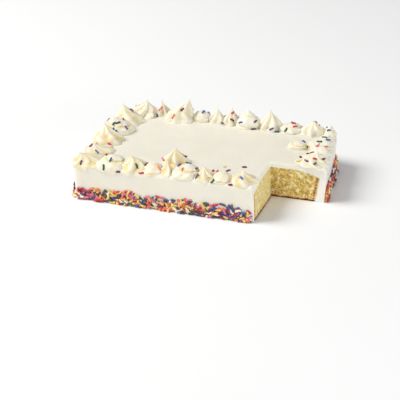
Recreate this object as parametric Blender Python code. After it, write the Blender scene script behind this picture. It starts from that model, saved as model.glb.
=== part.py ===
"""Iced sheet cake with one slice cut out: yellow sponge, cream icing, a piped border and sprinkles.

Metres, +Z up.  The origin is on the ground under the middle of the whole cake, +X runs along its
long side and +Y to its back.  The slice was taken from the front right corner.
"""
import math
import random

import bmesh
import bpy
from mathutils import Matrix, Vector

# Driving sizes of the cake and of the slice that is gone
LENGTH = 0.353
DEPTH = 0.240
HEIGHT = 0.052
SLICE_LENGTH = 0.082
SLICE_DEPTH = 0.095
SLICE_X = LENGTH / 2 - SLICE_LENGTH
SLICE_Y = SLICE_DEPTH - DEPTH / 2
GAP = 0.0003

# The knife leaned: the foot of the cut across the cake stands this much nearer the slice
CUT_LEAN = 0.0037

# Plan of the cake: corner radii, how far the right side runs in from the slice to the back,
# and how far the left side runs in from the back to the front
CORNER_RADIUS = 0.014
BACK_RIGHT_RADIUS = 0.026
LEAST_RADIUS = 0.002
RIGHT_RUN_IN = 0.016
LEFT_RUN_IN = 0.007
CORNER_STEPS = 4
LONG_SIDE_STEPS = 8
SHORT_SIDE_STEPS = 6

# Icing: its foot stands in from its top, and its upper edge is rounded
ICING_FOOT_INSET = 0.0025
ICING_EDGE_RADIUS = 0.0055
ICING_EDGE_STEPS = 4

# Sponge: walls lean out as the tin's did, a rounded shoulder, then a dome.  Its foot stands
# nearer the front than its middle does.
SPONGE_FOOT_INSET = 0.0150
SPONGE_FOOT_FORWARD = 0.009
SPONGE_WALL_INSET = 0.0100
SPONGE_WALL_HEIGHT = 0.0348
SPONGE_SHOULDER = 0.002
SPONGE_HEIGHT = 0.0442
SPONGE_DOME_RUN = 0.040
SPONGE_DOME_STEPS = 3

# Cutters run past what they cut by this much
CUT_MARGIN = 0.020

# Kinds of piped dollop: width, lobes, groove depth, twist in turns, peak sharpness
KINDS = {
    "star": (0.0335, 6, 0.24, 0.12, 1.10),
    "round": (0.0330, 7, 0.10, 0.30, 0.80),
    "broad": (0.0410, 7, 0.22, 0.20, 1.20),
    "low": (0.0240, 6, 0.12, 0.22, 0.75),
    "small": (0.0240, 6, 0.22, 0.12, 1.05),
    "slim": (0.0190, 5, 0.20, 0.10, 1.00),
}
DOLLOP_RINGS = (0.0, 0.12, 0.36, 0.62, 0.86)
DOLLOP_BELLY = 3.2
TIP_LEAN_POWER = 1.7
STAGGER = 0.0025
SMALL_SET_BACK = 0.4

# Rows of dollops, written from left to right or from front to back.  Each entry is a kind,
# its height and how far its tip leans along the row, in millimetres.
FRONT_ROW = (
    ("broad", 9, -19), ("round", 16, 1), ("star", 18, -4), ("low", 12, -1), ("slim", 14, -2),
    ("round", 15, 1), ("small", 15, -2), ("low", 12, 0), ("star", 15, 1),
)
LEFT_ROW = (("star", 12, -3), ("star", 26, 4), ("round", 22, 2), ("star", 28, -1))
BACK_ROW = (
    ("broad", 24, 6), ("slim", 24, -2), ("broad", 36, 19), ("low", 17, 1), ("small", 21, 2),
    ("small", 25, 2), ("round", 26, -3), ("star", 29, 0), ("round", 13, 2), ("star", 21, 2),
    ("slim", 17, 0),
)
RIGHT_ROW = (("broad", 18, 0), ("low", 12, 2), ("round", 15, 0), ("slim", 13, -1))
LEFT_LEAN_OUT = 0.007
RIGHT_LEAN_OUT = 0.006
LEAN_SPREAD = 0.002
LEFT_ROW_OVERRUN = 0.002
BACK_ROW_START = 0.016

# Dollops inside the rows: kind, height in millimetres, distances from the left and front sides
STRAYS = (("star", 23, 0.147, 0.0485), ("low", 11, 0.294, 0.160))

# Sprinkles: little rods, in a band round the foot of the sides and a few on the top
SPRINKLE_LENGTH = 0.0070
SPRINKLE_RADIUS = 0.00095
SPRINKLE_CAP = 0.0005
SPRINKLE_SIDES = 5
SPRINKLE_PROUD = 0.0003
BAND_SPACING = 0.0150
BAND_FIRST_HEIGHT = 0.0042
BAND_PITCH = 0.0056
BAND_SHARES = (1.0, 1.0, 0.85, 0.55)
CUT_CLEARANCE = 0.005
FOOT_CLEARANCE = 0.0004
PER_DOLLOP = 1
TOP_SPRINKLES = 8
SEED = 21

CREAM = (0.90, 0.84, 0.70)
SPONGE_YELLOW = (0.80, 0.60, 0.27)


def clear_scene():
    """Remove whatever the scene holds."""
    for thing in list(bpy.data.objects):
        bpy.data.objects.remove(thing, do_unlink=True)


def make_material(name, colour, roughness):
    """Plain surface of one colour."""
    material = bpy.data.materials.new(name)
    material.use_nodes = True
    shader = material.node_tree.nodes["Principled BSDF"]
    shader.inputs["Base Color"].default_value = (*colour, 1.0)
    shader.inputs["Roughness"].default_value = roughness
    shader.inputs["Metallic"].default_value = 0.0
    return material


def add_object(name, mesh, material, collection=None):
    """Put a bmesh in the scene as an object with one material."""
    data = bpy.data.meshes.new(name)
    mesh.to_mesh(data)
    mesh.free()
    data.materials.append(material)
    piece = bpy.data.objects.new(name, data)
    (collection or bpy.context.scene.collection).objects.link(piece)
    return piece


def split_side(start, end, steps):
    """Points between two ends, without the ends."""
    return [start.lerp(end, step / steps) for step in range(1, steps)]


def corner_arc(x, y, radius, start_degrees):
    """Points of a rounded corner whose sharp corner is at x, y."""
    centre = Vector((x - math.copysign(radius, x), y - math.copysign(radius, y)))
    points = []
    for step in range(CORNER_STEPS + 1):
        angle = math.radians(start_degrees + 90 * step / CORNER_STEPS)
        points.append(centre + radius * Vector((math.cos(angle), math.sin(angle))))
    return points


def plan_outline(inset):
    """The cake's plan, counter-clockwise from above, moved in by inset all round."""
    half_x = LENGTH / 2 - inset
    half_y = DEPTH / 2 - inset
    plain = max(CORNER_RADIUS - inset, LEAST_RADIUS)
    wide = max(BACK_RIGHT_RADIUS - inset, LEAST_RADIUS)
    arcs = [
        corner_arc(half_x, -half_y, plain, -90),
        corner_arc(half_x, half_y, wide, 0),
        corner_arc(-half_x, half_y, plain, 90),
        corner_arc(-half_x, -half_y, plain, 180),
    ]
    steps = (SHORT_SIDE_STEPS, LONG_SIDE_STEPS, SHORT_SIDE_STEPS, LONG_SIDE_STEPS)
    outline = []
    for index, arc in enumerate(arcs):
        outline += arc
        outline += split_side(arc[-1], arcs[(index + 1) % 4][0], steps[index])
    return [run_in(point) for point in outline]


def side_x(y):
    """Where the cake's right side stands at a distance y."""
    return LENGTH / 2 - RIGHT_RUN_IN * (y - SLICE_Y) / (DEPTH / 2 - SLICE_Y)


def left_x(y):
    """Where the cake's left side stands at a distance y."""
    return LEFT_RUN_IN * (DEPTH / 2 - y) / DEPTH - LENGTH / 2


def run_in(point):
    """Draw the sides in: the right half towards the back, the left half towards the front."""
    share = point.x / (LENGTH / 2)
    side = side_x(point.y) if share > 0 else -left_x(point.y)
    return Vector((share * side, point.y))


def loft(levels, foot_forward=0.0):
    """Closed body through plan outlines given as (inset, height), from the bottom up."""
    mesh = bmesh.new()
    rings = []
    for inset, height in levels:
        forward = foot_forward * max(1 - height / SPONGE_WALL_HEIGHT, 0.0)
        rings.append([mesh.verts.new((p.x, p.y - forward, height)) for p in plan_outline(inset)])
    count = len(rings[0])
    for lower, upper in zip(rings, rings[1:]):
        for i in range(count):
            j = (i + 1) % count
            mesh.faces.new((lower[i], lower[j], upper[j], upper[i]))
    mesh.faces.new(reversed(rings[0]))
    mesh.faces.new(rings[-1])
    return mesh


def sponge_levels():
    """Foot, wall, rounded shoulder and dome of the sponge."""
    levels = [(SPONGE_FOOT_INSET, 0.0), (SPONGE_WALL_INSET, SPONGE_WALL_HEIGHT)]
    for step in (1, 2):
        angle = math.radians(45 * step)
        inset = SPONGE_WALL_INSET + SPONGE_SHOULDER * (1 - math.cos(angle))
        levels.append((inset, SPONGE_WALL_HEIGHT + SPONGE_SHOULDER * math.sin(angle)))
    shoulder_inset, shoulder_height = levels[-1]
    for step in range(1, SPONGE_DOME_STEPS + 1):
        share = step / SPONGE_DOME_STEPS
        rise = (SPONGE_HEIGHT - shoulder_height) * (1 - (1 - share) ** 2)
        levels.append((shoulder_inset + SPONGE_DOME_RUN * share, shoulder_height + rise))
    return levels


def cavity_levels():
    """The room the sponge takes in the icing, a touching gap larger and open below."""
    levels = [(inset - GAP, height + GAP) for inset, height in sponge_levels()]
    foot_inset = levels[0][0]
    return [(foot_inset, -CUT_MARGIN), (foot_inset, 0.0)] + levels[1:]


def icing_levels():
    """Leaning wall, rounded upper edge and flat top of the icing."""
    radius = ICING_EDGE_RADIUS
    levels = [(ICING_FOOT_INSET, 0.0), (ICING_FOOT_INSET / 2, (HEIGHT - radius) / 2)]
    for step in range(ICING_EDGE_STEPS + 1):
        angle = math.radians(90 * step / ICING_EDGE_STEPS)
        height = HEIGHT - radius * (1 - math.sin(angle))
        levels.append((radius * (1 - math.cos(angle)), height))
    return levels


def cut_x(height):
    """Where the cut across the cake stands at a height."""
    return SLICE_X + CUT_LEAN * (1 - height / HEIGHT)


def make_slice_cutter(material):
    """Block of the room that the missing slice left."""
    low = Vector((SLICE_X, -DEPTH / 2 - CUT_MARGIN, -CUT_MARGIN))
    high = Vector((LENGTH / 2 + CUT_MARGIN, SLICE_Y, HEIGHT + CUT_MARGIN))
    mesh = bmesh.new()
    place = Matrix.Translation((low + high) / 2) @ Matrix.Diagonal((*(high - low), 1.0))
    bmesh.ops.create_cube(mesh, size=1.0, matrix=place)
    for vert in mesh.verts:
        if vert.co.x < (low.x + high.x) / 2:
            vert.co.x = cut_x(vert.co.z)
    return hide_cutter(add_object("slice_cutter", mesh, material))


def hide_cutter(piece):
    """Keep a cutter out of the finished cake."""
    piece.hide_render = True
    piece.display_type = "WIRE"
    return piece


def cut_away(piece, cutter):
    """Boolean difference that stays on the piece as a modifier."""
    cut = piece.modifiers.new("cut_" + cutter.name, "BOOLEAN")
    cut.operation = "DIFFERENCE"
    cut.solver = "EXACT"
    cut.object = cutter


def freeze(piece):
    """Apply the piece's modifiers and keep its largest shell."""
    graph = bpy.context.evaluated_depsgraph_get()
    data = bpy.data.meshes.new_from_object(piece.evaluated_get(graph))
    piece.modifiers.clear()
    piece.data = data
    mesh = bmesh.new()
    mesh.from_mesh(data)
    keep_largest_shell(mesh)
    mesh.to_mesh(data)
    mesh.free()


def keep_largest_shell(mesh):
    """Drop sealed hollows and loose scraps: every shell but the one of most faces."""
    unseen = set(mesh.verts)
    shells = []
    while unseen:
        front = [unseen.pop()]
        shell = list(front)
        while front:
            vert = front.pop()
            for edge in vert.link_edges:
                other = edge.other_vert(vert)
                if other in unseen:
                    unseen.remove(other)
                    front.append(other)
                    shell.append(other)
        shells.append(shell)
    shells.sort(key=len)
    for shell in shells[:-1]:
        bmesh.ops.delete(mesh, geom=shell, context="VERTS")


def fuse(piece, sprinkles):
    """Join a collection of sprinkles to the piece they lie on, then remove them."""
    union = piece.modifiers.new("fuse_sprinkles", "BOOLEAN")
    union.operation = "UNION"
    union.solver = "EXACT"
    union.operand_type = "COLLECTION"
    union.collection = sprinkles
    freeze(piece)
    for rod in list(sprinkles.objects):
        bpy.data.objects.remove(rod, do_unlink=True)
    bpy.data.collections.remove(sprinkles)


def new_collection(name):
    """Empty collection in the scene."""
    collection = bpy.data.collections.new(name)
    bpy.context.scene.collection.children.link(collection)
    return collection


def make_sprinkle_mesh(material):
    """One rod with blunt pointed ends, lying along X."""
    mesh = bmesh.new()
    straight = SPRINKLE_LENGTH / 2 - SPRINKLE_CAP
    rings = []
    for x in (-straight, straight):
        ring = []
        for side in range(SPRINKLE_SIDES):
            angle = 2 * math.pi * side / SPRINKLE_SIDES
            y = SPRINKLE_RADIUS * math.cos(angle)
            z = SPRINKLE_RADIUS * math.sin(angle)
            ring.append(mesh.verts.new((x, y, z)))
        rings.append(ring)
    start = mesh.verts.new((-SPRINKLE_LENGTH / 2, 0, 0))
    end = mesh.verts.new((SPRINKLE_LENGTH / 2, 0, 0))
    for i in range(SPRINKLE_SIDES):
        j = (i + 1) % SPRINKLE_SIDES
        mesh.faces.new((rings[0][i], rings[1][i], rings[1][j], rings[0][j]))
        mesh.faces.new((rings[0][j], start, rings[0][i]))
        mesh.faces.new((rings[1][i], end, rings[1][j]))
    bmesh.ops.recalc_face_normals(mesh, faces=mesh.faces)
    data = bpy.data.meshes.new("sprinkle")
    mesh.to_mesh(data)
    mesh.free()
    data.materials.append(material)
    return data


def lay_sprinkle(data, collection, point, normal, along):
    """Half sink one sprinkle in a surface, along a direction in that surface."""
    normal = normal.normalized()
    along = (along - normal * along.dot(normal)).normalized()
    across = normal.cross(along)
    turn = Matrix((along, across, normal)).transposed().to_4x4()
    rod = bpy.data.objects.new("sprinkle", data)
    rod.matrix_world = Matrix.Translation(point + normal * SPRINKLE_PROUD) @ turn
    collection.objects.link(rod)


def wall_place(share, height):
    """Point, outward normal and tangent of the icing's wall at a share of the way round."""
    outline = plan_outline(ICING_FOOT_INSET * (1 - height / HEIGHT))
    spans = [(b - a).length for a, b in zip(outline, outline[1:] + outline[:1])]
    target = share * sum(spans)
    index = 0
    while target > spans[index]:
        target -= spans[index]
        index += 1
    start = outline[index]
    tangent = (outline[(index + 1) % len(outline)] - start).normalized()
    point = start + tangent * target
    lean = ICING_FOOT_INSET / HEIGHT
    normal = Vector((tangent.y, -tangent.x, -lean)).normalized()
    return Vector((point.x, point.y, height)), normal, Vector((tangent.x, tangent.y, 0.0))


def near_slice(point):
    """True where a point is in the missing slice or close to its cut faces."""
    beyond_x = point.x > cut_x(point.z) - CUT_CLEARANCE
    before_y = point.y < SLICE_Y + CUT_CLEARANCE
    return beyond_x and before_y


def lay_band(data, collection):
    """Even band of sprinkles round the foot of the sides, thinner towards its top."""
    rng = random.Random(SEED)
    around = 2 * (LENGTH + DEPTH)
    for row, share in enumerate(BAND_SHARES):
        count = round(around / BAND_SPACING * share)
        for number in range(count):
            place = (number + 0.5 * (row % 2) + rng.uniform(0.1, 0.4)) / count
            tilt = rng.uniform(-math.pi / 2, math.pi / 2)
            lowest = FOOT_CLEARANCE + SPRINKLE_RADIUS + SPRINKLE_LENGTH / 2 * abs(math.sin(tilt))
            height = BAND_FIRST_HEIGHT + BAND_PITCH * row + rng.uniform(-1, 1) * BAND_PITCH / 4
            point, normal, tangent = wall_place(place % 1.0, max(height, lowest))
            if near_slice(point):
                continue
            up = normal.cross(tangent)
            along = tangent * math.cos(tilt) + up * math.sin(tilt)
            lay_sprinkle(data, collection, point, normal, along)


def lay_top(data, collection):
    """A few sprinkles that fell inside the border."""
    rng = random.Random(SEED + 1)
    inside = 0.052
    for number in range(TOP_SPRINKLES):
        x = (number / (TOP_SPRINKLES - 1) - 0.5) * (LENGTH - 2 * inside)
        y = (DEPTH / 2 - inside) * (1 if number % 2 else -1)
        point = Vector((x, y, HEIGHT))
        if near_slice(point) or number == 2:
            continue
        angle = rng.uniform(0, math.pi)
        along = Vector((math.cos(angle), math.sin(angle), 0))
        lay_sprinkle(data, collection, point, Vector((0, 0, 1)), along)


def body_share(t, sharpness):
    """Radius of a dollop at a share t of its height, as a share of half its width."""
    def raw(s):
        return (1 - s) ** sharpness * (1 + DOLLOP_BELLY * s * (1 - s))
    widest = max(raw(step / 40) for step in range(20))
    return raw(t) / widest


def dollop_point(dollop, side, t):
    """Point of a dollop's surface at a side number and a share t of its height."""
    lobes = dollop["lobes"]
    angle = math.pi * side / lobes + 2 * math.pi * dollop["twist"] * t + dollop["turn"]
    groove = dollop["groove"] if side % 2 else 0.0
    radius = dollop["width"] / 2 * body_share(t, dollop["sharpness"]) * (1 - groove)
    lean = dollop["lean"] * t ** TIP_LEAN_POWER
    x = dollop["place"].x + lean.x + radius * math.cos(angle)
    y = dollop["place"].y + lean.y + radius * math.sin(angle)
    return Vector((x, y, HEIGHT + GAP + dollop["height"] * t))


def dollop_mesh(dollop):
    """Ridged body drawn up to a leaning tip, on a flat base."""
    mesh = bmesh.new()
    sides = 2 * dollop["lobes"]
    rings = []
    for t in DOLLOP_RINGS:
        rings.append([mesh.verts.new(dollop_point(dollop, side, t)) for side in range(sides)])
    tip = mesh.verts.new(dollop_point(dollop, 0, 1.0))
    for lower, upper in zip(rings, rings[1:]):
        for i in range(sides):
            j = (i + 1) % sides
            mesh.faces.new((lower[i], lower[j], upper[j], upper[i]))
    for i in range(sides):
        mesh.faces.new((rings[-1][i], rings[-1][(i + 1) % sides], tip))
    mesh.faces.new(reversed(rings[0]))
    bmesh.ops.triangulate(mesh, faces=[f for f in mesh.faces if len(f.verts) == 4])
    return mesh


def lay_on_dollop(dollop, data, collection, rng):
    """Sprinkles on a dollop's ridges, in turn round it and up it."""
    for number in range(PER_DOLLOP):
        side = rng.randrange(dollop["lobes"]) * 2
        t = rng.uniform(0.36, 0.56)
        point = dollop_point(dollop, side, t)
        climb = dollop_point(dollop, side, t + 0.1) - dollop_point(dollop, side, t - 0.1)
        outward = point - dollop["place"]
        around = Vector((0, 0, 1)).cross(outward)
        along = climb.normalized() if number % 2 else around.normalized() + climb * 20
        normal = around.cross(climb)
        lay_sprinkle(data, collection, point, normal, along)


def new_dollop(kind, height_mm, place, lean, rng):
    """One dollop's sizes, turned at random."""
    width, lobes, groove, twist, sharpness = KINDS[kind]
    return {
        "width": width,
        "height": height_mm * 0.001,
        "lobes": lobes,
        "groove": groove,
        "twist": twist * rng.choice((-1, 1)),
        "sharpness": sharpness,
        "turn": rng.uniform(0, 2 * math.pi),
        "lean": lean,
        "place": place,
    }


def edge_inset(width):
    """How far a dollop stands in from the cake's edge: small ones stand further in."""
    return SMALL_SET_BACK * max(KINDS["star"][0] - width, 0.0)


def lay_row(row, start, end, lean_out, rng):
    """Dollops side by side from start to end, the cake's inside on the right, filling the run."""
    run = end - start
    along = run.normalized()
    inward = Vector((along.y, -along.x, 0))
    fit = run.length / sum(KINDS[kind][0] for kind, _, _ in row)
    dollops = []
    travelled = 0.0
    for kind, height_mm, lean_mm in row:
        taken = KINDS[kind][0] * fit
        inset = edge_inset(taken) + taken / 2 + STAGGER * rng.random()
        place = start + along * (travelled + taken / 2) + inward * inset
        lean = along * lean_mm * 0.001 - inward * (lean_out + LEAN_SPREAD * rng.uniform(-1, 1))
        dollop = new_dollop(kind, height_mm, place, lean, rng)
        dollop["width"] = taken - GAP
        dollops.append(dollop)
        travelled += taken
    return dollops


def left_side(y):
    """Point of the left side at a distance y."""
    return Vector((left_x(y), y, 0))


def right_side(y):
    """Point of the right side at a distance y."""
    return Vector((side_x(y), y, 0))


def reversed_row(row):
    """The same row laid from its other end."""
    return [(kind, height_mm, -lean_mm) for kind, height_mm, lean_mm in reversed(row)]


def plan_dollops():
    """The border's dollops, clockwise from above starting at the slice, then those inside it."""
    rng = random.Random(SEED + 2)
    left = -LENGTH / 2
    front = -DEPTH / 2
    back = DEPTH / 2
    left_start = front + KINDS["star"][0] + STAGGER
    left_end = back - KINDS["broad"][0] + LEFT_ROW_OVERRUN
    right_end = back - edge_inset(KINDS["low"][0]) - KINDS["low"][0] - STAGGER
    dollops = lay_row(
        reversed_row(FRONT_ROW), Vector((SLICE_X, front, 0)), left_side(front), 0.0, rng)
    dollops += lay_row(LEFT_ROW, left_side(left_start), left_side(left_end), LEFT_LEAN_OUT, rng)
    dollops += lay_row(
        BACK_ROW, Vector((left + BACK_ROW_START, back, 0)), right_side(back), 0.0, rng)
    dollops += lay_row(
        reversed_row(RIGHT_ROW), right_side(right_end), right_side(SLICE_Y), RIGHT_LEAN_OUT, rng)
    for kind, height_mm, x, y in STRAYS:
        place = Vector((left + x, front + y, 0))
        dollops.append(new_dollop(kind, height_mm, place, Vector((0, 0, 0)), rng))
    return dollops


def make_sponge(material, slice_cutter):
    """Sponge with a dome, cut where the slice was taken."""
    sponge = add_object("sponge", loft(sponge_levels(), SPONGE_FOOT_FORWARD), material)
    cut_away(sponge, slice_cutter)
    freeze(sponge)


def make_icing(material, slice_cutter, sprinkle_data):
    """Icing over the top and down the sides, hollow where the sponge is."""
    icing = add_object("icing", loft(icing_levels()), material)
    room = loft(cavity_levels(), SPONGE_FOOT_FORWARD)
    cavity = hide_cutter(add_object("sponge_cutter", room, material))
    cut_away(icing, cavity)
    cut_away(icing, slice_cutter)
    freeze(icing)
    bpy.data.objects.remove(cavity, do_unlink=True)
    band = new_collection("band")
    lay_band(sprinkle_data, band)
    lay_top(sprinkle_data, band)
    fuse(icing, band)


def make_dollops(material, sprinkle_data):
    """Every piped dollop as its own object, with its sprinkles fused on."""
    rng = random.Random(SEED + 3)
    for number, dollop in enumerate(plan_dollops(), start=1):
        piece = add_object(f"dollop_{number:02d}", dollop_mesh(dollop), material)
        few = new_collection("few")
        lay_on_dollop(dollop, sprinkle_data, few, rng)
        fuse(piece, few)


def main():
    clear_scene()
    cream = make_material("icing", CREAM, 0.45)
    yellow = make_material("sponge", SPONGE_YELLOW, 0.9)
    slice_cutter = make_slice_cutter(yellow)
    sprinkle_data = make_sprinkle_mesh(cream)
    make_sponge(yellow, slice_cutter)
    make_icing(cream, slice_cutter, sprinkle_data)
    make_dollops(cream, sprinkle_data)
    bpy.data.objects.remove(slice_cutter, do_unlink=True)


main()
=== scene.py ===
"""Looks of an iced sheet cake with one slice cut out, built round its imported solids.

Metres, +Z up, in the frame of the solids.  The slice is missing from the front right corner.
"""

import math
import random

import bmesh
import bpy
import numpy as np
from mathutils import Matrix, Vector, noise
from mathutils.bvhtree import BVHTree


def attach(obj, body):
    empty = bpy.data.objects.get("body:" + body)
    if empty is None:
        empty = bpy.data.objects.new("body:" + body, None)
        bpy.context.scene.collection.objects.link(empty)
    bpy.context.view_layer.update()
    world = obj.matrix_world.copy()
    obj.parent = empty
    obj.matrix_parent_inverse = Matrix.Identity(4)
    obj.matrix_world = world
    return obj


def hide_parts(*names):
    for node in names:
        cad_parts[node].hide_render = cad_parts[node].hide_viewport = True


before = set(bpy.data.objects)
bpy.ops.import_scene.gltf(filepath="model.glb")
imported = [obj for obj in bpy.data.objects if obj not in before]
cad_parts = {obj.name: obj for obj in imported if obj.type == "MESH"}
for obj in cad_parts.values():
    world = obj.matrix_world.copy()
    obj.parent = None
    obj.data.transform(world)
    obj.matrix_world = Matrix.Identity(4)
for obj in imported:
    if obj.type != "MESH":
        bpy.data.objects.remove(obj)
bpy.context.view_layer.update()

BODY = "root"
TOUCH = 0.00001

# Driving sizes, the same as the solids have
LENGTH = 0.353
DEPTH = 0.240
HEIGHT = 0.052
SLICE_LENGTH = 0.082
SLICE_DEPTH = 0.095
SLICE_X = LENGTH / 2 - SLICE_LENGTH
SLICE_Y = SLICE_DEPTH - DEPTH / 2
CUT_LEAN = 0.0037
CORNER_RADIUS = 0.014
BACK_RIGHT_RADIUS = 0.026
LEAST_RADIUS = 0.002
RIGHT_RUN_IN = 0.016
LEFT_RUN_IN = 0.007
ICING_FOOT_INSET = 0.0025
ICING_EDGE_RADIUS = 0.0055
SPONGE_FOOT_INSET = 0.0150
SPONGE_FOOT_FORWARD = 0.009
SPONGE_WALL_INSET = 0.0100
SPONGE_WALL_HEIGHT = 0.0348
SPONGE_SHOULDER = 0.002
SPONGE_HEIGHT = 0.0442
SPONGE_DOME_RUN = 0.040
SHOULDER_STEPS = 4
DOME_STEPS = 6

# Fineness of the icing's mesh
CORNER_STEPS = 10
LONG_SIDE_STEPS = 110
SHORT_SIDE_STEPS = 76
WALL_STEPS = 14
EDGE_STEPS = 8
TOP_STEP = 0.0035
TOP_INSET = 0.112

# Unevenness of the spread icing: swells, fainter ripples, and the round edge the knife left
SWELL = 0.00035
SWELL_SIZE = 0.045
RIPPLE = 0.00010
RIPPLE_SIZE = 0.011
STEADY_FOOT = 0.006
CUT_EDGE_RADIUS = 0.0006
CUT_EDGE_SHARES = (0.04, 0.2, 0.45, 0.75, 1.0, 1.6)
CUT_MARGIN = 0.020

# Crumb of the cut faces
CRUMB_STEP = 0.00045
SLAB_THICKNESS = 0.004
SLAB_OVERRUN = 0.002
CORE_SETBACK = 0.003
CRUMB_SWELL = 0.0004
CRUMB_SWELL_SIZE = 0.011
CRUMB_GRAIN = 0.00028
CRUMB_GRAIN_SIZE = 0.0014
CRUMB_CELL = 0.0030
CRUMB_CELL_RISE = 0.0005
CRUMB_CELL_EDGE = 0.5
PORE_CELL = 0.0052
PORE_RADIUS = 0.42
LEAST_PORE = 0.05
PORE_SHUFFLE = 37.0
PORE_DEPTH = 0.0013
# The left cut face has weaker relief and pore shade, and takes painted light, a paler crumb, the more
# the lower its strength
LEFT_FACE_STRENGTH = 0.45
BACK_FACE_STRENGTH = 1.0

# Browning of the cut faces: how deep each crust reaches and how sharply it ends, then the row of
# dark dots inside the side, then what varies from place to place as (mean, spread, size)
FOOT_CRUST = 0.0027
FOOT_FRINGE = 0.0070
SIDE_CRUST = 0.0075
FOOT_SHARPNESS = 2.5
FRINGE_SHARPNESS = 1.5
SIDE_SHARPNESS = 1.6
DOT_ROW = 0.0034
DOT_WIDTH = 0.0018
DOT_SPACING = 0.0042
DARKEST_DOT = 0.85
CRUST_JAG = (1, 0.6, 0.004)
FINE_JAG = (0, 0.5, 0.0013)
SPECKLE = (0.60, 0.7, 0.0016)
DOT_WANDER = (0, 5, 0.004)
DOT_STRENGTH = (1.6, 2, 0.003)

# Fineness and softness of the piped dollops, and the painted shade in their grooves, seams and feet
DOLLOP_SIDES = 112
DOLLOP_RINGS = 46
DOLLOP_BELLY = 3.2
TIP_LEAN_POWER = 1.7
DOLLOP_SINK = 0.0012
SINK_RINGS = 2
BASE_SPREAD = 0.26
BASE_SPREAD_POWER = 8
OUTER_SPREAD_POWER = 3
FULLNESS = 1.15
RING_CROWDING = 1.25
DRAPE_FADE = 2
DRAPE_THICKNESS = 0.55
ROW_REACH = 0.032
LOBE_WARP = 0.42
DEPTH_WARP = 0.50
CREST_SOFTNESS = 0.14
LUMP = 0.16
LUMP_SIZE = 0.011
SMALL_LUMP = 0.018
SMALL_LUMP_SIZE = 0.004
TIP_CURL = 0.0028
LEAST_CURL = 0.4
TIP_CURL_START = 0.70
TIP_DROOP = 0.0012
SPIRE = 0.0018
# Painted shade: groove and coil depths at which the painted shade in them is full
GROOVE_FULL = 0.22
COIL_FULL = 0.16
COIL_FADE = 0.2
SEAM_WIDTH = 0.09
SEAM_STEP = 0.35
# Painted shade: how strongly yellower cream is painted into the grooves and seams of the front row and
# strays, the left row and the back row
PAINTED_GROOVE_SHADE = 0.86
LEFT_PAINTED_GROOVE_SHADE = 0.72
BACK_PAINTED_GROOVE_SHADE = 0.36
# Painted shade: yellower cream near each dollop's foot, where it meets the icing
PAINTED_FOOT_SHADE = 0.15
PAINTED_FOOT_SHADE_POWER = 3

# Depth of the grooves near a dollop's foot and tip: least share of it, and how soon it is full
GROOVE_FOOT = (0.5, 0.3)
GROOVE_TIP = (0.35, 0.12)

# Ways of piping: peak sharpness, groove depth, share of sharp ridges, coil depth, coil turns
PIPING = {
    "star": (1.30, 0.23, 0.50, 0.07, 1.3),
    "broad": (1.40, 0.23, 0.45, 0.09, 1.5),
    "slim": (1.25, 0.22, 0.45, 0.05, 1.2),
    "ribbon": (1.20, 0.34, 0.95, 0.03, 1.2),
    "round": (0.80, 0.06, 0.15, 0.15, 1.6),
    "low": (0.75, 0.09, 0.20, 0.12, 1.5),
}
SMOOTH_GROOVE = 0.17
BROAD_LOBES = 7
SLIM_LOBES = 5
TWIST_RING = 0.12

# How far the front dollops, from the slice to the left corner, hang down over the icing's edge
DROOPS = (0.0040, 0.0025, 0.0045, 0.0035, 0.0040, 0.0050, 0.0075, 0.0105, 0.0130)
FRONT_DROOP = {f"dollop_{number:02}": droop for number, droop in enumerate(DROOPS, 1)}
PLAIN_DROOP = 0.0020
FRONT_ANGLE = -math.pi / 2
CORNER_ANGLES = {"dollop_09": math.radians(-108)}
OUTER_SHAPE = 0.7

# Dollops inside the rows, those of the left row, and those piped as thin ribbons
STRAYS = ("dollop_29", "dollop_30")
LEFT_ROW = ("dollop_10", "dollop_11", "dollop_12", "dollop_13")
RIBBONS = ("dollop_05", "dollop_15", "dollop_29")

# Sprinkles, and their band round the foot of the sides
SPRINKLE_LENGTH = 0.0078
SPRINKLE_LENGTH_SPREAD = 0.0015
SPRINKLE_RADIUS = 0.00138
SPRINKLE_RADIUS_SPREAD = 0.00010
SPRINKLE_BEND = 0.0004
SPRINKLE_SIDES = 10
SPRINKLE_STATIONS = 5
CAP_STATIONS = 3
CAP_SHIFT = 0.4
SPRINKLE_LIFT = 0.35 * SPRINKLE_RADIUS
FLOOR_GAP = 0.0008
BAND_COUNT = 2700
BAND_SPACING = 0.0034
BAND_TOP = 0.0205
BAND_TOP_SPREAD = 0.0050
BAND_TOP_SIZE = 0.016
BAND_FADE = 0.013
BAND_LEAST = 0.05
FOOT_SHARE = 0.30
FOOT_BAND = 0.005
FOOT_HEAP = 0.0062
FOOT_HEAP_HEIGHT = 0.008
FLAT_SHARE = 0.55
FLAT_TURN = math.radians(75)
FLAT_RISE = 0.0014
FLAT_PROUD = 0.78
BAND_SCALE = 1.12
LOOSE_RUN = 0.012
LOOSE_SHARE = 0.45
MOST_PILED = 2
BAND_PILE = 0.0013
PILE_JITTER = 0.9
PILE_PACKING = 1.5
RIGHT_PILE = 2.4
FACING_RIGHT = 0.5
CUT_CLEARANCE = 0.0032
GRAZING = 0.3
SEED = 21

# Sprinkles on the backs of the dollops: turn and rise of the way they come, share of the height
HIDDEN_PER_DOLLOP = 4
HIDDEN_BEHIND = 0.005
HIDDEN_TURN = 0.9
HIDDEN_RISE = 0.4
HIDDEN_HEIGHTS = (0.08, 0.30)
HIDDEN_START = 0.1

# Colours of the sprinkles, each with how common it is in the band
COLOURS = {
    "red": ((0.62, 0.030, 0.045), 18),
    "maroon": ((0.16, 0.008, 0.014), 13),
    "orange": ((0.88, 0.21, 0.055), 20),
    "yellow": ((0.93, 0.68, 0.19), 18),
    "green": ((0.030, 0.105, 0.040), 9),
    "blue": ((0.035, 0.11, 0.36), 9),
    "pink": ((0.84, 0.19, 0.30), 13),
    "purple": ((0.135, 0.060, 0.24), 7),
    "teal": ((0.012, 0.10, 0.14), 4),
    "white": ((0.93, 0.88, 0.76), 12),
}

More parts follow.
